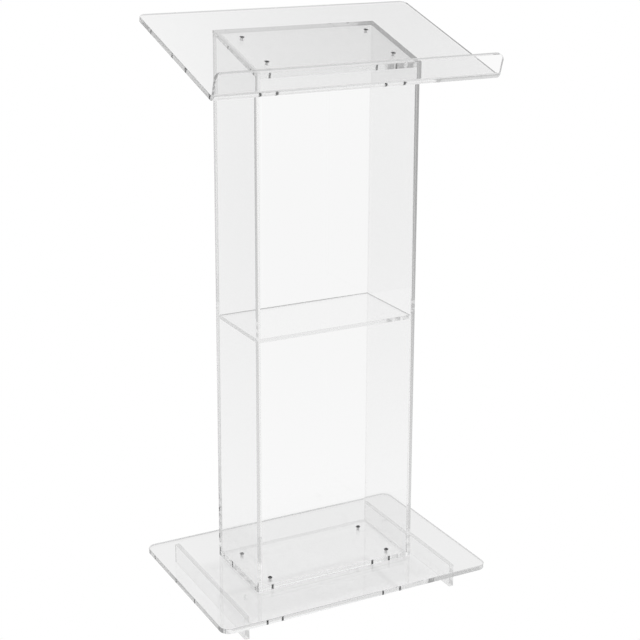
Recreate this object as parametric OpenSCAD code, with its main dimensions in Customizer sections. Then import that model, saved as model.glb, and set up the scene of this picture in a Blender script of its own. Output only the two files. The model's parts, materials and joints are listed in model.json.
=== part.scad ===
// Free-standing lectern made of clear acrylic sheet.
// A square column, open on the speaker's side, stands on a wide base with two runners
// and carries a sloped reading top with a heat-bent ledge. Eight machine screws hold
// the reading top and the base to the column; every other joint is welded edge to face.
//
// Frame: the origin is on the floor under the middle of the base. +X is the speaker's
// right, +Y points away from the speaker, +Z is up. The speaker stands at -Y.

/* [Sheet] */
// Thickness of the sheet that every piece but the shelf is cut from
sheet_t = 10; // [8:0.5:12]
// Thickness of the shelf
shelf_t = 8; // [5:0.5:12]

/* [Reading top] */
// Height of the reading top's upper back edge over the floor
overall_h = 1182; // [1050:1:1300]
// Width of the reading top
top_w = 600; // [450:10:700]
// Length of the reading top along its slope, from the sharp corner of the fold
slope_l = 374; // [340:1:420]
// Tilt of the reading top, in degrees
tilt = 17.5; // [10:0.5:25]
// Distance from the column's middle to the foremost edge of the ledge
ledge_reach = 200; // [190:1:210]
// Height of the ledge, square to the reading surface
ledge_h = 55; // [40:1:70]
// Inside radius of the bend
bend_r = 5; // [3:0.5:8]
// Radius of the ledge's two upper corners
ledge_corner_r = 12; // [2:0.5:18]
// Radius of the two back corners
back_corner_r = 15; // [2:0.5:30]

/* [Column] */
// Width of the column over its side panels
column_w = 355; // [330:1:400]
// Depth of the column, front to back
column_d = 186; // [160:1:200]
// Height of the shelf's upper face over the floor
shelf_top_z = 582; // [300:1:800]

/* [Base] */
// Width of the base plate
base_w = 600; // [560:10:700]
// Depth of the base plate
base_d = 400; // [380:10:480]
// Radius of the base plate's corners
base_corner_r = 20; // [2:0.5:30]
// Height of the runners under the base plate
runner_h = 42; // [20:1:60]
// Length of the runners
runner_l = 350; // [250:1:360]
// Distance from the middle of the base to the middle of each runner
runner_x = 235; // [200:1:265]
// How far the runners sit behind the middle of the base
runner_y = 10; // [-10:1:10]

/* [Screws] */
// Outside diameter of the screw thread
screw_d = 5; // [4:0.5:6]
// Length of the screw, from under the pan head or over the countersunk head
screw_l = 20; // [16:0.5:20]
// Distance from the middle to the screws, across the column
screw_x = 136; // [80:1:142]
// Distance from the top plate's middle to its screws, along the slope
top_screw_s = 56.5; // [30:0.5:60]
// Distance from the bottom plate's middle to its screws, front to back
base_screw_y = 60; // [30:0.5:62]

/* [Hidden] */
$fn = 64;

eps = 1;                                   // overrun of a cutter past the face it cuts
left = -1;
right = 1;

fold_r = bend_r + sheet_t;                 // outside radius of the bend
fold_y = ledge_h * sin(tilt) - ledge_reach;
fold_z = overall_h - slope_l * sin(tilt) - sheet_t * cos(tilt);

base_top_z = runner_h + sheet_t;
bottom_top_z = base_top_z + sheet_t;
front_y = -column_d / 2;
back_y = column_d / 2;
inner_w = column_w - 2 * sheet_t;
inner_back_y = back_y - sheet_t;           // front face of the back panel
inner_d = inner_back_y - front_y;
plate_mid_y = (front_y + inner_back_y) / 2;

clearance_d = screw_d + 0.5;               // clearance hole for the thread
flat_head_d = 2 * screw_d - 0.7;           // countersunk head, over its rim
flat_head_rim = 0.35;                      // how far that rim lies under the surface
flat_head_h = (flat_head_d - screw_d) / 2; // 90 degree cone
flat_socket_d = 0.6 * screw_d;             // across flats of its hexagon
flat_socket_h = 0.38 * screw_d;
pan_head_d = 1.9 * screw_d;
pan_head_h = 0.55 * screw_d;
pan_rim_h = 0.12 * screw_d;                // straight rim under the dome
pan_socket_h = 0.32 * screw_d;

// Height of the column's sloped top, which is the underside of the reading top
function slope_z(y) = fold_z + (y - fold_y) * tan(tilt);

// Places that four screws share, two across and two along
module at_screws(half_x, half_y)
    for (sx = [left, right], sy = [-1, 1])
        translate([sx * half_x, sy * half_y, 0])
            children();

// Moves a shape into the reading top's own frame: X across, Y up the slope,
// Z square to it, with the fold's sharp outer corner at the origin
module on_slope()
    translate([0, fold_y, fold_z])
        rotate([tilt, 0, 0])
            children();

// Same frame with its origin over the middle of the top plate
module on_top_plate()
    translate([0, plate_mid_y, slope_z(plate_mid_y)])
        rotate([tilt, 0, 0])
            children();

// Rectangle of width w from y = 0 to y = d with its two far corners rounded
module far_rounded(w, d, r) {
    translate([-w / 2, 0])
        square([w, d - r]);
    translate([r - w / 2, 0])
        square([w - 2 * r, d]);
    for (side = [left, right])
        translate([side * (w / 2 - r), d - r])
            circle(r);
}

// Rectangle with four rounded corners, centred on the origin
module rounded_rect(w, d, r) {
    square([w - 2 * r, d], center = true);
    square([w, d - 2 * r], center = true);
    for (sx = [left, right], sy = [-1, 1])
        translate([sx * (w / 2 - r), sy * (d / 2 - r)])
            circle(r);
}

// Extrudes a shape drawn in the Y-Z plane to width w across the lectern, centred on x
module across(w, x = 0)
    translate([x - w / 2, 0, 0])
        rotate([90, 0, 90])
            linear_extrude(w)
                children();

// Quarter of a ring that joins the reading surface to the ledge
module bend_profile()
    intersection() {
        difference() {
            circle(fold_r);
            circle(bend_r);
        }
        translate([-fold_r, -fold_r])
            square(fold_r);
    }

module bent_sheet() {
    translate([0, fold_r, 0])
        linear_extrude(sheet_t)
            far_rounded(top_w, slope_l - fold_r, back_corner_r);
    translate([0, sheet_t, fold_r])
        rotate([90, 0, 0])
            linear_extrude(sheet_t)
                far_rounded(top_w, ledge_h - fold_r, ledge_corner_r);
    across(top_w)
        translate([fold_r, fold_r])
            bend_profile();
}

// Through hole with a 90 degree countersink, z = 0 on the sheet's underside
module countersunk_hole() {
    sink_d = flat_head_d + 2 * flat_head_rim;
    sink_h = (sink_d - clearance_d) / 2;
    translate([0, 0, -eps])
        cylinder(d = clearance_d, h = sheet_t + 2 * eps);
    translate([0, 0, sheet_t - sink_h])
        cylinder(d1 = clearance_d, d2 = sink_d + 2 * eps, h = sink_h + eps);
}

module plain_hole(d)
    translate([0, 0, -eps])
        cylinder(d = d, h = sheet_t + 2 * eps);

// Side of the column, in front of the back panel; its top edge follows the slope
module side_panel(side)
    across(sheet_t, side * (column_w - sheet_t) / 2)
        polygon([
            [front_y, base_top_z],
            [inner_back_y, base_top_z],
            [inner_back_y, slope_z(inner_back_y)],
            [front_y, slope_z(front_y)]
        ]);

module runner(side)
    translate([side * runner_x - sheet_t / 2, runner_y - runner_l / 2, 0])
        cube([sheet_t, runner_l, runner_h]);

// Countersunk screw with its rim at z = 0, pointing down
module flat_screw()
    difference() {
        union() {
            translate([0, 0, -flat_head_h])
                cylinder(d1 = screw_d, d2 = flat_head_d, h = flat_head_h);
            translate([0, 0, flat_head_rim - screw_l])
                cylinder(d = screw_d, h = screw_l - flat_head_rim - flat_head_h + eps / 2);
        }
        translate([0, 0, -flat_socket_h])
            cylinder(d = flat_socket_d / cos(30), h = flat_socket_h + eps, $fn = 6);
    }

// Screw with a low domed head that sits on z = 0, pointing down
module pan_screw() {
    dome_h = pan_head_h - pan_rim_h;
    dome_r = (pow(pan_head_d / 2, 2) + pow(dome_h, 2)) / (2 * dome_h);
    difference() {
        union() {
            intersection() {
                cylinder(d = pan_head_d, h = pan_head_h + eps);
                translate([0, 0, pan_head_h - dome_r])
                    sphere(dome_r);
            }
            translate([0, 0, -screw_l])
                cylinder(d = screw_d, h = screw_l + eps / 2);
        }
        translate([0, 0, pan_head_h - pan_socket_h])
            cylinder(d = flat_socket_d / cos(30), h = pan_socket_h + eps, $fn = 6);
    }
}

module reading_top()
    color([0.86, 0.91, 0.93, 0.45])
        difference() {
            on_slope()
                bent_sheet();
            on_top_plate()
                at_screws(screw_x, top_screw_s)
                    countersunk_hole();
        }

// Plate under the reading top. Its front and back edges are cut upright, flush with
// the column's front and tight against the back panel
module top_plate()
    color([0.84, 0.90, 0.92, 0.45])
        difference() {
            drop = sheet_t / cos(tilt);
            across(inner_w)
                polygon([
                    [front_y, slope_z(front_y) - drop],
                    [inner_back_y, slope_z(inner_back_y) - drop],
                    [inner_back_y, slope_z(inner_back_y)],
                    [front_y, slope_z(front_y)]
                ]);
            on_top_plate()
                at_screws(screw_x, top_screw_s)
                    translate([0, 0, -sheet_t])
                        plain_hole(screw_d);
        }

module left_side_panel()
    color([0.82, 0.89, 0.92, 0.40])
        side_panel(left);

module right_side_panel()
    color([0.82, 0.89, 0.92, 0.40])
        side_panel(right);

// Back of the column, welded to the back edges of the side panels; its top edge
// follows the slope
module back_panel()
    color([0.88, 0.93, 0.95, 0.35])
        across(column_w)
            polygon([
                [inner_back_y, base_top_z],
                [back_y, base_top_z],
                [back_y, slope_z(back_y)],
                [inner_back_y, slope_z(inner_back_y)]
            ]);

module shelf()
    color([0.85, 0.91, 0.93, 0.45])
        translate([-inner_w / 2, front_y, shelf_top_z - shelf_t])
            cube([inner_w, inner_d, shelf_t]);

module bottom_plate()
    color([0.85, 0.91, 0.93, 0.45])
        difference() {
            translate([-inner_w / 2, front_y, base_top_z])
                cube([inner_w, inner_d, sheet_t]);
            translate([0, plate_mid_y, base_top_z])
                at_screws(screw_x, base_screw_y)
                    plain_hole(clearance_d);
        }

module base_plate()
    color([0.84, 0.90, 0.92, 0.45])
        difference() {
            translate([0, 0, runner_h])
                linear_extrude(sheet_t)
                    rounded_rect(base_w, base_d, base_corner_r);
            translate([0, plate_mid_y, runner_h])
                at_screws(screw_x, base_screw_y)
                    plain_hole(screw_d);
        }

module left_runner()
    color([0.84, 0.90, 0.92, 0.45])
        runner(left);

module right_runner()
    color([0.84, 0.90, 0.92, 0.45])
        runner(right);

// Four countersunk screws through the reading top into the top plate
module top_screws()
    color([0.35, 0.35, 0.36])
        on_top_plate()
            at_screws(screw_x, top_screw_s)
                translate([0, 0, sheet_t - flat_head_rim])
                    flat_screw();

// Four low-head screws through the bottom plate into the base plate
module base_screws()
    color([0.55, 0.55, 0.56])
        translate([0, plate_mid_y, bottom_top_z])
            at_screws(screw_x, base_screw_y)
                pan_screw();

reading_top();
top_plate();
left_side_panel();
right_side_panel();
back_panel();
shelf();
bottom_plate();
base_plate();
left_runner();
right_runner();
top_screws();
base_screws();
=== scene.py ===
"""Looks of the clear acrylic lectern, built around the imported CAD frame.

Every sheet and screw is built again here with the detail the CAD leaves out: eased edges,
threads and sockets. Lengths are in metres. +X is the speaker's right, +Y points away from
the speaker and +Z is up. Each new piece keeps to the space of the CAD node it stands for,
but for the ends of welded sheets, which reach 0.03 mm into their neighbours.
"""
import json
import math

import bmesh
import bpy
from mathutils import Matrix, Vector
from mathutils.geometry import tessellate_polygon


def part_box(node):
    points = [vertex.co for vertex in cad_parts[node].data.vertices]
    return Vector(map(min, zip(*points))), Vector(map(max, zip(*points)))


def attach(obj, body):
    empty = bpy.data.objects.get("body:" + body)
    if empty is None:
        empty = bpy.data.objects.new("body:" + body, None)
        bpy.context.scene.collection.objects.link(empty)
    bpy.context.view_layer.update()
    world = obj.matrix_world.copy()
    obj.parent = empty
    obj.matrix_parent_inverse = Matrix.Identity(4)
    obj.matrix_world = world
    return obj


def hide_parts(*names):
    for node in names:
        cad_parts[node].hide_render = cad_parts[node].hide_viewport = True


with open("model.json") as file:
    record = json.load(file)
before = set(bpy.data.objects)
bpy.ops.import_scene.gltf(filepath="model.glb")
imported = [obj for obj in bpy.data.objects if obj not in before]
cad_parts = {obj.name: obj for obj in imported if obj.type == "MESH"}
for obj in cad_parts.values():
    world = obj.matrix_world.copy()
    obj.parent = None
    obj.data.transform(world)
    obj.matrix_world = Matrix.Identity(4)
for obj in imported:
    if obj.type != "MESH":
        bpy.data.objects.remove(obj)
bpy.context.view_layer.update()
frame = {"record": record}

# ---------------------------------------------------------------- sizes
SLOPE_LENGTH = 0.374        # reading top along its slope, from the fold's sharp outer corner
LEDGE_HEIGHT = 0.055        # ledge, square to the slope, from the same corner
BEND_RADIUS = 0.005         # inside of the bend
BEND_STEPS = 24
LEDGE_CORNER = 0.012        # radius of the ledge's two free corners
TOP_CORNER = 0.015          # radius of the reading top's two back corners
BASE_CORNER = 0.020
CORNER_STEPS = 16

MERGE_DISTANCE = 1e-7       # points closer than this become one
SHARP_ANGLE = math.radians(30)

EASE = 0.0004               # width of the eased edge on a cut sheet
GAP = 0.00003               # air left between two sheets that only touch
WELD = 0.00003              # how far a welded sheet reaches into its neighbour

THREAD = 0.005              # outside diameter
THREAD_PITCH = 0.0008
THREAD_DEPTH = 0.0004
THREAD_STEEPNESS = 1.35     # over 1 leaves a flat on the crest
THREAD_ROOT = 0.15          # share of that steepness cut off as a flat at the root
THREAD_ROWS = 6             # rows of the mesh in one turn
TIP_DEPTH = 1.3             # how far the tip is turned down, in thread depths
TIP_SLOPE = 0.8
THREAD_PLAY = 0.00006       # air round the thread
CLEARANCE_HOLE = 0.0055
SCREW_LENGTH = 0.020
TOP_SCREW_REACH = 0.0565    # from the top plate's middle to its screws, along the slope
BASE_SCREW_REACH = 0.060    # from the bottom plate's middle to its screws
FLAT_HEAD = 0.0093
FLAT_HEAD_SINK = 0.00035    # rim of the countersunk head under the sheet's face
FLAT_HEAD_BAND = 0.0001     # height of the rim's upright part and of its broken edge
FLAT_HEAD_EDGE = 0.0002     # width of that broken edge
FLAT_SOCKET_DEPTH = 0.0019
PAN_HEAD = 0.0095
PAN_HEAD_HEIGHT = 0.00275
PAN_RIM = 0.0006            # straight rim under the dome
PAN_SEAT_EDGE = 0.0001      # broken edge under the rim
PAN_SEAT_GAP = 0.00002      # air under the head
PAN_SOCKET_DEPTH = 0.0016
PAN_SOCKET_LAND = 0.0003    # from the socket's corners to where the dome starts
DOME_STEPS = 8
SOCKET = 0.003              # across flats
SOCKET_BREAK = 0.00015      # broken edge at its mouth
SOCKET_POINT = 0.0002       # cone at its floor
NECK_ROUND = 0.0004         # fillet under the pan head
NECK_LENGTH = 0.0002        # plain neck between head and thread
SCREW_TURNS_TOP = (0.7, 1.3)        # angle of the first screw, and what each next one adds
SCREW_TURNS_BASE = (0.2, 1.7)
ROUND_STEPS = 48            # points round a hole or a screw

# ---------------------------------------------------------------- camera
CAMERA_PLACE = (-1.3212, -2.4913, 1.4787)
CAMERA_HEADING = math.radians(-27.13)
CAMERA_PITCH = math.radians(-14.06)
CAMERA_LENS = 82.4
CAMERA_SHIFT = (0.0381, -0.1527)
CAMERA_SENSOR = 36.0        # mm
SAME_PLACE = 0.001

# ---------------------------------------------------------------- acrylic and steel
WHITE = (1, 1, 1, 1)
ACRYLIC_IOR = 1.49
ABSORPTION = 0.24           # density for the tint below, per metre of sheet
ABSORBED_TINT = (0.0, 0.0, 0.0, 1)
WAVE_SCALE = 16.0           # waves of the sheet's surface in a metre
WAVE_DETAIL = 1.0
WAVE_HEIGHT = 0.00001
HAZE_SCALE = 40.0
HAZE_DETAIL = 4.0
HAZE_SPAN = (0.35, 0.75)    # part of the noise that goes from no haze to the most
HAZE_ROUGHNESS = (0.0, 0.012)
DRILLED_ROUGHNESS = 0.45
STEEL_DARK = (0.14, 0.14, 0.145, 1)
STEEL_LIGHT = (0.24, 0.24, 0.245, 1)
GRAIN_SCALE = 900.0
GRAIN_DETAIL = 5.0
GRAIN_STRENGTH = 0.5
GRAIN_HEIGHT = 0.00004
PATCH_SCALE = 260.0
PATCH_DETAIL = 2.0
PATCH_SPAN = (0.3, 0.7)
STEEL_ROUGHNESS = (0.24, 0.42)
LIGHT_BOUNCES = 40
MIXED_AFTER = 36.5          # light caught in a sheet for this many bounces has come from everywhere
MIXED_LEVEL = 0.42          # so it's shown as this even grey

# ---------------------------------------------------------------- studio
# Brightness depends on direction, in the camera's own x, y and z. Each pair of limits runs
# from where a thing has no effect to where it is complete.
LEAST_AHEAD = 0.05          # keeps the tangents finite beside and behind the camera

# White paper sweep. Its sides are tangents of the angle off the camera's axis.
SWEEP_AHEAD = (0.0, 0.2)
SWEEP_LEFT = (-0.62, -0.30)
SWEEP_RIGHT = (1.60, 0.50)
SWEEP_LOW = (-0.75, -0.33)
SWEEP_HIGH = (1.18, 0.96)

# Part of the sweep right behind the lectern that gets less light.
PAPER_DIP = 0.045
PAPER_DIP_MIDDLE = 0.03
PAPER_DIP_HALF = (0.15, 0.03)
PAPER_DIP_UP = (0.66, 0.54)

# Darker band of the sweep above the picture.
UPPER_DIP = 0.08
UPPER_DIP_MIDDLE = 0.50
UPPER_DIP_HALF = (0.12, 0.03)

# The room round the sweep, with a dark gap on the left, a ceiling, and less light on the
# low right.
ROOM_LEVEL = 0.78
DARK_GAP = 0.68
DARK_GAP_LEFT = (-0.66, -0.93)
DARK_GAP_MIDDLE = -0.07
DARK_GAP_HALF = (0.36, 0.0)
CEILING_LEVELS = (0.63, 0.45)       # to the left and to the right of the lectern
CEILING_ACROSS = (-0.02, 0.20)
CEILING_UP = (0.69, 0.75)
LOW_RIGHT = 0.16
LOW_RIGHT_X = (0.20, 0.80)
LOW_RIGHT_Y = (-0.40, -0.80)

# Floor paper. The key light stands behind the camera, so the shadows fall back.
FLOOR_HALF = 40.0
FLOOR_GLOSS = 0.15
FLOOR_ROUGHNESS = 0.06
BASE_SHADOW = 0.18
BASE_SHADOW_SHIFT = (0.02, 0.06)
COLUMN_SHADOW = 0.08
COLUMN_SHADOW_SHIFT = (0.01, 0.02)
SHADOW_SOFT = 0.03
SHADOW_REACH = 0.05         # past the piece on every side

# ---------------------------------------------------------------- places, from the frame
side_low, side_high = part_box("left_side_panel")
back_low, back_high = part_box("back_panel")
shelf_low, shelf_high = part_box("shelf")
bottom_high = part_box("bottom_plate")[1]
base_low, base_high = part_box("base_plate")
top_low, top_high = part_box("reading_top")
base_screws_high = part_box("base_screws")[1]

sheet = side_high.x - side_low.x
reading_mount = next(m for m in frame["record"]["mounts"] if m["name"] == "reading_surface")
tilt = math.atan2(-reading_mount["axis"][1], reading_mount["axis"][2])
fold_radius = BEND_RADIUS + sheet
fold_y = top_low.y + LEDGE_HEIGHT * math.sin(tilt)
fold_z = top_high.z - SLOPE_LENGTH * math.sin(tilt) - sheet * math.cos(tilt)
inner_x = side_high.x                       # inner face of the left side panel
front_y = side_low.y
back_y = back_high.y
inner_back_y = back_low.y
plate_mid_y = (front_y + inner_back_y) / 2
screw_x = base_screws_high.x - PAN_HEAD / 2


def slope_z(y):
    """Height of the reading top's underside."""
    return fold_z + (y - fold_y) * math.tan(tilt)


# Each of these turns (u, v, n) into the lectern's frame. A sheet's outline is drawn in
# u and v, and its thickness or length runs along n.
upright = Matrix.Identity(4)
across = Matrix(((0, 0, 1, 0), (1, 0, 0, 0), (0, 1, 0, 0), (0, 0, 0, 1)))
slope = Matrix.Translation((0, fold_y, fold_z)) @ Matrix.Rotation(tilt, 4, "X")
plate_slope = Matrix.Translation((0, plate_mid_y, slope_z(plate_mid_y))) @ Matrix.Rotation(tilt, 4, "X")


# ---------------------------------------------------------------- mesh tools
def finish_piece(name, mesh_data, nodes, material):
    """Makes a shown piece out of a bmesh and lets it stand for its CAD nodes."""
    bmesh.ops.remove_doubles(mesh_data, verts=mesh_data.verts, dist=MERGE_DISTANCE)
    bmesh.ops.recalc_face_normals(mesh_data, faces=mesh_data.faces)
    mesh = bpy.data.meshes.new(name)
    mesh_data.to_mesh(mesh)
    mesh_data.free()
    mesh.shade_smooth()
    mesh.set_sharp_from_angle(angle=SHARP_ANGLE)
    mesh.materials.append(material)
    made = bpy.data.objects.new(name, mesh)
    bpy.context.scene.collection.objects.link(made)
    even = made.modifiers.new("flat_faces_stay_flat", "WEIGHTED_NORMAL")
    even.keep_sharp = True
    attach(made, "root")
    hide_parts(*nodes)


def rounded(corners, radii, steps):
    """Outline with its corners rounded. A radius of 0 leaves a corner sharp."""
    outline = []
    count = len(corners)
    for i in range(count):
        corner = Vector(corners[i])
        if radii[i] == 0:
            outline.append(corner)
            continue
        to_last = (Vector(corners[i - 1]) - corner).normalized()
        to_next = (Vector(corners[(i + 1) % count]) - corner).normalized()
        half = to_last.angle(to_next) / 2
        middle = (to_last + to_next).normalized()
        centre = corner + middle * radii[i] / math.sin(half)
        first = corner + to_last * radii[i] / math.tan(half) - centre
        last = corner + to_next * radii[i] / math.tan(half) - centre
        sweep = first.angle(last)
        for k in range(steps + 1):
            share = k / steps
            a = math.sin((1 - share) * sweep) / math.sin(sweep)
            b = math.sin(share * sweep) / math.sin(sweep)
            outline.append(centre + first * a + last * b)
    return outline


def inset(outline, amount):
    """Anticlockwise outline moved inwards by amount."""
    moved = []
    count = len(outline)
    for i in range(count):
        before = (outline[i] - outline[i - 1]).normalized()
        after = (outline[(i + 1) % count] - outline[i]).normalized()
        side_before = Vector((-before.y, before.x))
        side_after = Vector((-after.y, after.x))
        middle = (side_before + side_after).normalized()
        moved.append(outline[i] + middle * amount / middle.dot(side_before))
    return moved


def circle(u, v, radius):
    """Ring of points round a hole."""
    angles = [2 * math.pi * k / ROUND_STEPS for k in range(ROUND_STEPS)]
    return [Vector((u + radius * math.cos(a), v + radius * math.sin(a))) for a in angles]


def add_ring(mesh_data, ring, n, place):
    """Vertices of a ring, n deep in the sheet."""
    return [mesh_data.verts.new(place(p.x, p.y, n)) for p in ring]


def add_wall(mesh_data, rows, drilled=False):
    """Joins rings of the same length, one to the next. A drilled wall is marked as not polished."""
    marks = mesh_data.faces.layers.float.get("drilled") or mesh_data.faces.layers.float.new("drilled")
    for low, high in zip(rows, rows[1:]):
        count = len(low)
        for i in range(count):
            k = (i + 1) % count
            face = mesh_data.faces.new((low[i], low[k], high[k], high[i]))
            face[marks] = 1.0 if drilled else 0.0


def add_face(mesh_data, rings, verts):
    """Fills a flat outline with holes. Its first ring is the outside one."""
    flat = [v for ring in verts for v in ring]
    for a, b, c in tessellate_polygon([[p.to_3d() for p in ring] for ring in rings]):
        mesh_data.faces.new((flat[a], flat[b], flat[c]))


def prism(outline, place, start, end, eased=(True, True), holes=(), lean=0.0):
    """Solid of one outline from n = start to n = end, with eased rims and round holes.

    A hole is (u, v, rows), where rows are (n, radius) from start to end. lean moves the
    outline, but not the holes, along v by that share of n.
    """
    levels = [(start, EASE), (start + EASE, 0.0)] if eased[0] else [(start, 0.0)]
    levels += [(end - EASE, 0.0), (end, EASE)] if eased[1] else [(end, 0.0)]
    mesh_data = bmesh.new()
    rings = []
    for n, amount in levels:
        ring = inset(outline, amount) if amount else outline
        rings.append([p + Vector((0, lean * n)) for p in ring])
    rows = [add_ring(mesh_data, ring, n, place) for ring, (n, _) in zip(rings, levels)]
    add_wall(mesh_data, rows)
    low_rings, high_rings = [rings[0]], [rings[-1]]
    low_verts, high_verts = [rows[0]], [rows[-1]]
    for u, v, hole_rows in holes:
        hole = [circle(u, v, radius) for _, radius in hole_rows]
        verts = [add_ring(mesh_data, ring, n, place) for ring, (n, _) in zip(hole, hole_rows)]
        add_wall(mesh_data, verts, drilled=True)
        low_rings.append(hole[0])
        high_rings.append(hole[-1])
        low_verts.append(verts[0])
        high_verts.append(verts[-1])
    add_face(mesh_data, low_rings, low_verts)
    add_face(mesh_data, high_rings, high_verts)
    return mesh_data


def through(matrix):
    """Turns a matrix into the place function that the mesh tools use."""
    return lambda u, v, n: matrix @ Vector((u, v, n))


def plain_hole(start, end, radius):
    """Rows of a hole with eased rims."""
    return [(start, radius + EASE), (start + EASE, radius), (end - EASE, radius), (end, radius + EASE)]


def screw_spots(half_v, mid_v=0.0):
    """Places that four screws share."""
    return [(su * screw_x, mid_v + sv * half_v) for su in (-1, 1) for sv in (-1, 1)]


# ---------------------------------------------------------------- sheets
def reading_top():
    """Sheet bent once. v is measured round the bend: the ledge has v < 0, the slope v > bend."""
    half = (top_high.x - top_low.x) / 2
    bend = (BEND_RADIUS + sheet / 2) * math.pi / 2
    ledge_end = fold_radius - LEDGE_HEIGHT
    slope_end = bend + SLOPE_LENGTH - fold_radius

    def place(u, v, n):
        if v < 0:
            y, z = n, fold_radius - v
        elif v <= bend:
            turn = v / bend * math.pi / 2
            y = fold_radius - (fold_radius - n) * math.cos(turn)
            z = fold_radius - (fold_radius - n) * math.sin(turn)
        else:
            y, z = fold_radius + v - bend, n
        return slope @ Vector((u, y, z))

    corners = [(-half, ledge_end), (half, ledge_end), (half, slope_end), (-half, slope_end)]
    smooth = rounded(corners, [LEDGE_CORNER, LEDGE_CORNER, TOP_CORNER, TOP_CORNER], CORNER_STEPS)
    half_count = 2 * (CORNER_STEPS + 1)
    steps = [bend * k / BEND_STEPS for k in range(BEND_STEPS + 1)]
    right_side = [Vector((half, v)) for v in steps]
    left_side = [Vector((-half, v)) for v in reversed(steps)]
    ledge_points = smooth[:half_count]
    slope_points = smooth[half_count:]
    outline = ledge_points + right_side + slope_points + left_side
    first_right = len(ledge_points)
    last_right = first_right + BEND_STEPS
    first_left = last_right + 1 + len(slope_points)

    mesh_data = bmesh.new()
    levels = [(0.0, EASE), (EASE, 0.0), (sheet - EASE, 0.0), (sheet, EASE)]
    rings = [inset(outline, amount) if amount else outline for _, amount in levels]
    rows = [add_ring(mesh_data, ring, n, place) for ring, (n, _) in zip(rings, levels)]
    add_wall(mesh_data, rows)
    sink = (FLAT_HEAD + 2 * FLAT_HEAD_SINK) / 2
    clear = CLEARANCE_HOLE / 2
    hole_rows = [(0.0, clear + EASE), (EASE, clear), (sheet - (sink - clear), clear), (sheet, sink)]
    middle_v = bend - fold_radius + (plate_mid_y - fold_y) / math.cos(tilt)
    holes = []
    for u, v in screw_spots(TOP_SCREW_REACH, middle_v):
        hole = [circle(u, v, radius) for _, radius in hole_rows]
        verts = [add_ring(mesh_data, ring, n, place) for ring, (n, _) in zip(hole, hole_rows)]
        add_wall(mesh_data, verts, drilled=True)
        holes.append((hole, verts))
    for side in (0, -1):
        ring, row = rings[side], rows[side]
        ledge_ids = list(range(first_right + 1)) + [len(ring) - 1]
        slope_ids = list(range(last_right, first_left + 1))
        add_face(mesh_data, [[ring[i] for i in ledge_ids]], [[row[i] for i in ledge_ids]])
        for k in range(BEND_STEPS):
            a, b = first_right + k, len(ring) - 1 - k
            mesh_data.faces.new((row[a], row[a + 1], row[b - 1], row[b]))
        slope_rings = [[ring[i] for i in slope_ids]] + [hole[side] for hole, _ in holes]
        slope_verts = [[row[i] for i in slope_ids]] + [verts[side] for _, verts in holes]
        add_face(mesh_data, slope_rings, slope_verts)
    return mesh_data


def top_plate():
    """Under the reading top. Its front and back edges are upright, so they lean in its own frame."""
    start, end = -sheet, -GAP
    lean = math.tan(tilt)
    half_u = -inner_x + WELD
    front_v = (front_y - plate_mid_y) / math.cos(tilt)
    back_v = (inner_back_y + WELD - plate_mid_y) / math.cos(tilt)
    corners = [(-half_u, front_v), (half_u, front_v), (half_u, back_v), (-half_u, back_v)]
    outline = [Vector(c) for c in corners]
    rows = plain_hole(start, end, THREAD / 2)
    holes = [(u, v, rows) for u, v in screw_spots(TOP_SCREW_REACH)]
    return prism(outline, through(plate_slope), start, end, (False, False), holes, lean)


def side_panel(low_x, high_x):
    """Side of the column. Its back edge is welded to the back panel."""
    foot = base_high.z + GAP
    end_y = inner_back_y + WELD
    corners = [
        (front_y, foot),
        (end_y, foot),
        (end_y, slope_z(end_y) - GAP),
        (front_y, slope_z(front_y) - GAP),
    ]
    outline = [Vector(c) for c in corners]
    return prism(outline, through(across), low_x, high_x)


def back_panel():
    """Across the back edges of the side panels."""
    foot = base_high.z + GAP
    corners = [
        (inner_back_y, foot),
        (back_y, foot),
        (back_y, slope_z(back_y) - GAP),
        (inner_back_y, slope_z(inner_back_y) - GAP),
    ]
    outline = rounded(corners, [EASE, EASE, EASE, EASE], 1)
    return prism(outline, through(across), back_low.x, back_high.x)


def shelf():
    """Welded to the sides and the back, so that only its front edges are eased."""
    corners = [
        (shelf_low.y, shelf_low.z),
        (inner_back_y + WELD, shelf_low.z),
        (inner_back_y + WELD, shelf_high.z),
        (shelf_low.y, shelf_high.z),
    ]
    outline = rounded(corners, [EASE, 0, 0, EASE], 1)
    return prism(outline, through(across), inner_x - WELD, -inner_x + WELD, (False, False))


def bottom_plate():
    """Foot of the column, welded in between its three panels."""
    start, end = base_high.z + GAP, bottom_high.z
    half_u = -inner_x + WELD
    end_y = inner_back_y + WELD
    corners = [(-half_u, front_y), (half_u, front_y), (half_u, end_y), (-half_u, end_y)]
    outline = [Vector(c) for c in corners]
    rows = plain_hole(start, end, CLEARANCE_HOLE / 2)
    holes = [(u, v, rows) for u, v in screw_spots(BASE_SCREW_REACH, plate_mid_y)]
    return prism(outline, through(upright), start, end, (False, False), holes)


def base_plate():
    """Wide plate with rounded corners and four tapped holes."""
    corners = [
        (base_low.x, base_low.y),
        (base_high.x, base_low.y),
        (base_high.x, base_high.y),
        (base_low.x, base_high.y),
    ]
    outline = rounded(corners, [BASE_CORNER] * 4, CORNER_STEPS)
    rows = plain_hole(base_low.z, base_high.z, THREAD / 2)
    holes = [(u, v, rows) for u, v in screw_spots(BASE_SCREW_REACH, plate_mid_y)]
    return prism(outline, through(upright), base_low.z, base_high.z, (True, True), holes)


def runner(node_name):
    """Strip on edge under the base plate."""
    low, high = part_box(node_name)
    corners = [(low.y, low.z), (high.y, low.z), (high.y, high.z - GAP), (low.y, high.z - GAP)]
    outline = rounded(corners, [EASE] * 4, 1)
    return prism(outline, through(across), low.x, high.x)


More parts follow.
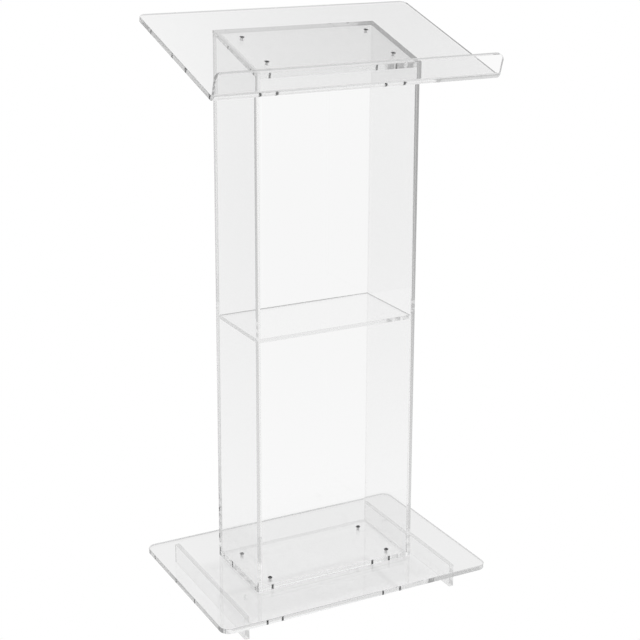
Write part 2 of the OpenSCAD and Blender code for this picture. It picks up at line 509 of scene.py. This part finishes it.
# ---------------------------------------------------------------- screws
def thread_radius(angle, z):
    """Radius of the thread's flank at one angle and depth."""
    turn = (z / THREAD_PITCH - angle / (2 * math.pi)) % 1
    height = THREAD_STEEPNESS * (1 - abs(2 * turn - 1)) - THREAD_ROOT
    height = min(1.0, max(0.0, height))
    return THREAD / 2 - THREAD_PLAY - THREAD_DEPTH * (1 - height)


def hexagon(angle, flats):
    """Radius of a hexagon that is flats wide between two opposite sides."""
    off = (angle + math.pi / 6) % (math.pi / 3) - math.pi / 6
    return flats / 2 / math.cos(off)


def thread_rows(top_z, bottom_z):
    """Rows of (radius at each angle, z) from under the head to the tip."""
    angles = [2 * math.pi * k / ROUND_STEPS for k in range(ROUND_STEPS)]
    count = round((top_z - bottom_z) / THREAD_PITCH * THREAD_ROWS)
    rows = []
    for k in range(count + 1):
        z = top_z + (bottom_z - top_z) * k / count
        tip = THREAD / 2 - THREAD_DEPTH * TIP_DEPTH + (z - bottom_z) * TIP_SLOPE
        rows.append(([min(thread_radius(a, z), tip) for a in angles], z))
    return rows


def socket_rows(top_z, depth):
    """Rows from the socket's floor up to its mouth."""
    angles = [2 * math.pi * k / ROUND_STEPS for k in range(ROUND_STEPS)]
    wall = [hexagon(a, SOCKET) for a in angles]
    mouth = [r + SOCKET_BREAK for r in wall]
    return [
        ([r / 2 for r in wall], top_z - depth - SOCKET_POINT),
        (wall, top_z - depth),
        (wall, top_z - SOCKET_BREAK),
        (mouth, top_z),
    ]


def even_row(radius, z):
    """Round row of a screw."""
    return [radius] * ROUND_STEPS, z


def flat_screw_rows():
    """Countersunk screw with its rim at z = 0, from the socket's floor to the tip."""
    rim = FLAT_HEAD / 2
    neck = THREAD / 2 - THREAD_DEPTH
    cone = rim - neck
    rows = socket_rows(0.0, FLAT_SOCKET_DEPTH)
    rows.append(even_row(rim - FLAT_HEAD_EDGE, 0.0))
    rows.append(even_row(rim, -FLAT_HEAD_BAND))
    rows.append(even_row(rim, -2 * FLAT_HEAD_BAND))
    rows.append(even_row(neck, -2 * FLAT_HEAD_BAND - cone))
    rows += thread_rows(-2 * FLAT_HEAD_BAND - NECK_LENGTH - cone, FLAT_HEAD_SINK - SCREW_LENGTH)
    return rows


def pan_screw_rows():
    """Screw with a low domed head that sits on z = 0."""
    rim = PAN_HEAD / 2
    neck = THREAD / 2 - THREAD_DEPTH
    mouth = SOCKET / 2 / math.cos(math.pi / 6) + PAN_SOCKET_LAND
    height = PAN_HEAD_HEIGHT - PAN_RIM
    ball = (rim * rim + height * height) / (2 * height)

    def dome(radius):
        return PAN_HEAD_HEIGHT - ball + math.sqrt(ball * ball - radius * radius)

    rows = socket_rows(dome(mouth), PAN_SOCKET_DEPTH)
    for k in range(DOME_STEPS + 1):
        radius = mouth + (rim - mouth) * k / DOME_STEPS
        rows.append(even_row(radius, dome(radius)))
    rows.append(even_row(rim, PAN_SEAT_EDGE))
    rows.append(even_row(rim - PAN_SEAT_EDGE, PAN_SEAT_GAP))
    rows.append(even_row(neck + NECK_ROUND, PAN_SEAT_GAP))
    rows += thread_rows(-NECK_LENGTH, -SCREW_LENGTH)
    return rows


def add_lathed(mesh_data, rows, matrix):
    """Solid of revolution whose radius may change with the angle, closed at both ends."""
    angles = [2 * math.pi * k / ROUND_STEPS for k in range(ROUND_STEPS)]
    rings = []
    for radii, z in rows:
        points = [Vector((r * math.cos(a), r * math.sin(a), z)) for r, a in zip(radii, angles)]
        rings.append([mesh_data.verts.new(matrix @ p) for p in points])
    add_wall(mesh_data, rings)
    for ring, (_, z) in ((rings[0], rows[0]), (rings[-1], rows[-1])):
        middle = mesh_data.verts.new(matrix @ Vector((0, 0, z)))
        for i in range(ROUND_STEPS):
            mesh_data.faces.new((ring[i], ring[(i + 1) % ROUND_STEPS], middle))


def top_screws():
    """Four countersunk screws, each with its socket turned its own way."""
    mesh_data = bmesh.new()
    rows = flat_screw_rows()
    first, step = SCREW_TURNS_TOP
    for k, (u, v) in enumerate(screw_spots(TOP_SCREW_REACH)):
        turn = Matrix.Rotation(first + step * k, 4, "Z")
        seat = plate_slope @ Matrix.Translation((u, v, sheet - FLAT_HEAD_SINK))
        add_lathed(mesh_data, rows, seat @ turn)
    return mesh_data


def base_screws():
    """Four pan-head screws, each with its socket turned its own way."""
    mesh_data = bmesh.new()
    rows = pan_screw_rows()
    first, step = SCREW_TURNS_BASE
    for k, (u, v) in enumerate(screw_spots(BASE_SCREW_REACH, plate_mid_y)):
        turn = Matrix.Rotation(first + step * k, 4, "Z")
        add_lathed(mesh_data, rows, Matrix.Translation((u, v, bottom_high.z)) @ turn)
    return mesh_data


# ---------------------------------------------------------------- shader tools
def new_tree(owner):
    """Empties the owner's node tree and hands it over."""
    owner.use_nodes = True
    owner.node_tree.nodes.clear()
    return owner.node_tree


def node(tree, kind, inputs=None, **values):
    """Adds a node. An input is given a number, a colour or the socket that feeds it."""
    made = tree.nodes.new(kind)
    for key, value in values.items():
        setattr(made, key, value)
    for key, value in (inputs or {}).items():
        if isinstance(value, bpy.types.NodeSocket):
            tree.links.new(value, made.inputs[key])
        else:
            made.inputs[key].default_value = value
    return made


def maths(tree, operation, first, second=0.0):
    """Output of a math node on numbers or sockets."""
    return node(tree, "ShaderNodeMath", {0: first, 1: second}, operation=operation).outputs[0]


def blend(tree, first, second, share):
    """First where the share is 0, second where it is 1."""
    missing = maths(tree, "SUBTRACT", second, first)
    return maths(tree, "ADD", first, maths(tree, "MULTIPLY", missing, share))


def ease(tree, value, start, end, low=0.0, high=1.0):
    """Goes smoothly from low at start to high at end."""
    limits = {"Value": value, "From Min": start, "From Max": end, "To Min": low, "To Max": high}
    return node(tree, "ShaderNodeMapRange", limits, interpolation_type="SMOOTHSTEP").outputs[0]


# ---------------------------------------------------------------- materials
def acrylic():
    """Clear cast sheet: polished, faintly wavy, and a little grey through its depth."""
    material = bpy.data.materials.new("clear_acrylic")
    tree = new_tree(material)
    place = node(tree, "ShaderNodeTexCoord").outputs["Object"]
    wave = node(tree, "ShaderNodeTexNoise", {"Vector": place, "Scale": WAVE_SCALE, "Detail": WAVE_DETAIL})
    bump = node(tree, "ShaderNodeBump", {"Height": wave.outputs[0], "Strength": 1.0, "Distance": WAVE_HEIGHT})
    haze = node(tree, "ShaderNodeTexNoise", {"Vector": place, "Scale": HAZE_SCALE, "Detail": HAZE_DETAIL})
    roughness = ease(tree, haze.outputs[0], *HAZE_SPAN, *HAZE_ROUGHNESS)
    drilled = node(tree, "ShaderNodeAttribute", attribute_name="drilled").outputs["Fac"]
    roughness = maths(tree, "MAXIMUM", roughness, maths(tree, "MULTIPLY", drilled, DRILLED_ROUGHNESS))
    body = node(tree, "ShaderNodeBsdfPrincipled", {
        "Base Color": WHITE,
        "Roughness": roughness,
        "IOR": ACRYLIC_IOR,
        "Transmission Weight": 1.0,
        "Normal": bump.outputs[0],
    })
    depth_now = node(tree, "ShaderNodeLightPath").outputs["Ray Depth"]
    is_mixed = maths(tree, "GREATER_THAN", depth_now, MIXED_AFTER)
    mixed = node(tree, "ShaderNodeEmission", {"Strength": MIXED_LEVEL})
    shown = node(tree, "ShaderNodeMixShader", {0: is_mixed, 1: body.outputs[0], 2: mixed.outputs[0]})
    depth = node(tree, "ShaderNodeVolumeAbsorption", {"Color": ABSORBED_TINT, "Density": ABSORPTION})
    node(tree, "ShaderNodeOutputMaterial", {"Surface": shown.outputs[0], "Volume": depth.outputs[0]})
    return material


def steel():
    """Stainless screw steel with a fine grain and duller patches."""
    material = bpy.data.materials.new("screw_steel")
    tree = new_tree(material)
    place = node(tree, "ShaderNodeTexCoord").outputs["Object"]
    fine = {"Vector": place, "Scale": GRAIN_SCALE, "Detail": GRAIN_DETAIL}
    grain = node(tree, "ShaderNodeTexNoise", fine)
    coarse = {"Vector": place, "Scale": PATCH_SCALE, "Detail": PATCH_DETAIL}
    patches = node(tree, "ShaderNodeTexNoise", coarse)
    bump = node(tree, "ShaderNodeBump", {
        "Height": grain.outputs[0],
        "Strength": GRAIN_STRENGTH,
        "Distance": GRAIN_HEIGHT,
    })
    roughness = ease(tree, patches.outputs[0], *PATCH_SPAN, *STEEL_ROUGHNESS)
    # Inputs 6 and 7 and output 2 are the mix node's colours.
    tones = {0: grain.outputs[0], 6: STEEL_DARK, 7: STEEL_LIGHT}
    tint = node(tree, "ShaderNodeMix", tones, data_type="RGBA")
    body = node(tree, "ShaderNodeBsdfPrincipled", {
        "Base Color": tint.outputs[2],
        "Metallic": 1.0,
        "Roughness": roughness,
        "Normal": bump.outputs[0],
    })
    node(tree, "ShaderNodeOutputMaterial", {"Surface": body.outputs[0]})
    return material


# ---------------------------------------------------------------- studio
def studio_light(tree, direction):
    """Brightness of the studio in a direction given in camera space.

    A white paper sweep fills the picture and runs on upwards and to the right. The room
    round it is light grey, with a dark gap on the left between the paper and the wall, and
    a darker ceiling.
    """
    unit = node(tree, "ShaderNodeVectorMath", {0: direction}, operation="NORMALIZE").outputs[0]
    x, y, z = node(tree, "ShaderNodeSeparateXYZ", {0: unit}).outputs
    ahead = maths(tree, "MAXIMUM", z, LEAST_AHEAD)
    right = maths(tree, "DIVIDE", x, ahead)
    up = maths(tree, "DIVIDE", y, ahead)
    sweep = ease(tree, z, *SWEEP_AHEAD)
    sides = ((right, SWEEP_LEFT), (right, SWEEP_RIGHT), (up, SWEEP_LOW), (up, SWEEP_HIGH))
    for value, limits in sides:
        sweep = maths(tree, "MULTIPLY", sweep, ease(tree, value, *limits))
    off_gap = maths(tree, "ABSOLUTE", maths(tree, "SUBTRACT", y, DARK_GAP_MIDDLE))
    gap = maths(tree, "MULTIPLY", ease(tree, off_gap, *DARK_GAP_HALF), ease(tree, x, *DARK_GAP_LEFT))
    low_right = maths(tree, "MULTIPLY", ease(tree, x, *LOW_RIGHT_X), ease(tree, y, *LOW_RIGHT_Y))
    room = ROOM_LEVEL
    for share, depth in ((gap, DARK_GAP), (low_right, LOW_RIGHT)):
        room = maths(tree, "SUBTRACT", room, maths(tree, "MULTIPLY", share, depth))
    ceiling = ease(tree, x, *CEILING_ACROSS, *CEILING_LEVELS)
    room = blend(tree, room, ceiling, ease(tree, y, *CEILING_UP))
    off_middle = maths(tree, "ABSOLUTE", maths(tree, "SUBTRACT", x, PAPER_DIP_MIDDLE))
    dip = maths(tree, "MULTIPLY", ease(tree, off_middle, *PAPER_DIP_HALF), ease(tree, y, *PAPER_DIP_UP))
    off_band = maths(tree, "ABSOLUTE", maths(tree, "SUBTRACT", y, UPPER_DIP_MIDDLE))
    band = ease(tree, off_band, *UPPER_DIP_HALF)
    paper = 1.0
    for share, depth in ((dip, PAPER_DIP), (band, UPPER_DIP)):
        paper = maths(tree, "SUBTRACT", paper, maths(tree, "MULTIPLY", share, depth))
    return blend(tree, room, paper, sweep)


def burnt_out(tree, light):
    """Plain white for what the camera sees directly."""
    return blend(tree, light, 1.0, node(tree, "ShaderNodeLightPath").outputs["Is Camera Ray"])


def to_camera(tree, vector):
    """Direction in the camera's own frame."""
    turn = node(
        tree,
        "ShaderNodeVectorTransform",
        {0: vector},
        vector_type="VECTOR",
        convert_from="WORLD",
        convert_to="CAMERA",
    )
    return turn.outputs[0]


def studio_world():
    """Everything round the lectern but the floor."""
    world = bpy.data.worlds.new("studio")
    bpy.context.scene.world = world
    tree = new_tree(world)
    place = node(tree, "ShaderNodeTexCoord").outputs["Generated"]
    light = studio_light(tree, to_camera(tree, place))
    white = {"Color": WHITE, "Strength": burnt_out(tree, light)}
    glow = node(tree, "ShaderNodeBackground", white)
    node(tree, "ShaderNodeOutputWorld", {"Surface": glow.outputs[0]})


def floor():
    """White paper, a little darker in the soft shadows of the base and the column.

    Its brightness depends on where the ray that meets it is heading, as the room's does,
    so that it runs into the room without a line.
    """
    mesh = bpy.data.meshes.new("floor")
    s = FLOOR_HALF
    mesh.from_pydata([(-s, -s, 0), (s, -s, 0), (s, s, 0), (-s, s, 0)], [], [(0, 1, 2, 3)])
    made = bpy.data.objects.new("floor", mesh)
    bpy.context.scene.collection.objects.link(made)
    material = bpy.data.materials.new("floor_paper")
    tree = new_tree(material)
    incoming = node(tree, "ShaderNodeNewGeometry").outputs["Incoming"]
    turned = {0: incoming, "Scale": -1.0}
    heading = node(tree, "ShaderNodeVectorMath", turned, operation="SCALE").outputs[0]
    light = studio_light(tree, to_camera(tree, heading))
    place = node(tree, "ShaderNodeTexCoord").outputs["Object"]
    split = node(tree, "ShaderNodeSeparateXYZ", {0: place})
    shadows = (
        (base_high, BASE_SHADOW, BASE_SHADOW_SHIFT),
        (back_high, COLUMN_SHADOW, COLUMN_SHADOW_SHIFT),
    )
    for piece_high, depth, shift in shadows:
        shadow = depth
        for axis in (0, 1):
            off = maths(tree, "SUBTRACT", split.outputs[axis], shift[axis])
            off = maths(tree, "ABSOLUTE", off)
            reach = piece_high[axis] + SHADOW_REACH
            shadow = maths(tree, "MULTIPLY", ease(tree, off, reach, reach - SHADOW_SOFT), shadow)
        light = maths(tree, "MULTIPLY", light, maths(tree, "SUBTRACT", 1.0, shadow))
    glow = node(tree, "ShaderNodeEmission", {"Strength": burnt_out(tree, light)})
    shine = {"Color": WHITE, "Roughness": FLOOR_ROUGHNESS}
    gloss = node(tree, "ShaderNodeBsdfGlossy", shine)
    is_camera = node(tree, "ShaderNodeLightPath").outputs["Is Camera Ray"]
    share = blend(tree, FLOOR_GLOSS, 0.0, is_camera)
    paper = node(tree, "ShaderNodeMixShader", {0: share, 1: glow.outputs[0], 2: gloss.outputs[0]})
    node(tree, "ShaderNodeOutputMaterial", {"Surface": paper.outputs[0]})
    mesh.materials.append(material)


def camera():
    """Camera with a shifted lens. The shift is for this one place, so a driver drops it elsewhere."""
    data = bpy.data.cameras.new("camera")
    made = bpy.data.objects.new("camera", data)
    bpy.context.scene.collection.objects.link(made)
    made.location = CAMERA_PLACE
    made.rotation_euler = (math.pi / 2 + CAMERA_PITCH, 0, CAMERA_HEADING)
    data.lens = CAMERA_LENS
    data.sensor_width = CAMERA_SENSOR
    bpy.context.scene.camera = made
    for prop, value in zip(("shift_x", "shift_y"), CAMERA_SHIFT):
        driver = data.driver_add(prop).driver
        variable = driver.variables.new()
        variable.name = "x"
        variable.type = "TRANSFORMS"
        variable.targets[0].id = made
        variable.targets[0].transform_type = "LOC_X"
        driver.expression = f"{value} if abs(x - {CAMERA_PLACE[0]}) < {SAME_PLACE} else 0.0"


clear = acrylic()
metal = steel()
sheets = {
    "reading_top": reading_top(),
    "top_plate": top_plate(),
    "left_side_panel": side_panel(side_low.x, side_high.x),
    "right_side_panel": side_panel(-side_high.x, -side_low.x),
    "back_panel": back_panel(),
    "shelf": shelf(),
    "bottom_plate": bottom_plate(),
    "base_plate": base_plate(),
    "left_runner": runner("left_runner"),
    "right_runner": runner("right_runner"),
}
for cad_node, built in sheets.items():
    finish_piece(cad_node + "_sheet", built, [cad_node], clear)
finish_piece("top_screws_threaded", top_screws(), ["top_screws"], metal)
finish_piece("base_screws_threaded", base_screws(), ["base_screws"], metal)

studio_world()
floor()
camera()
scene = bpy.context.scene
scene.view_settings.view_transform = "Standard"
scene.cycles.max_bounces = LIGHT_BOUNCES
scene.cycles.transmission_bounces = LIGHT_BOUNCES
scene.cycles.glossy_bounces = LIGHT_BOUNCES
scene.cycles.transparent_max_bounces = LIGHT_BOUNCES
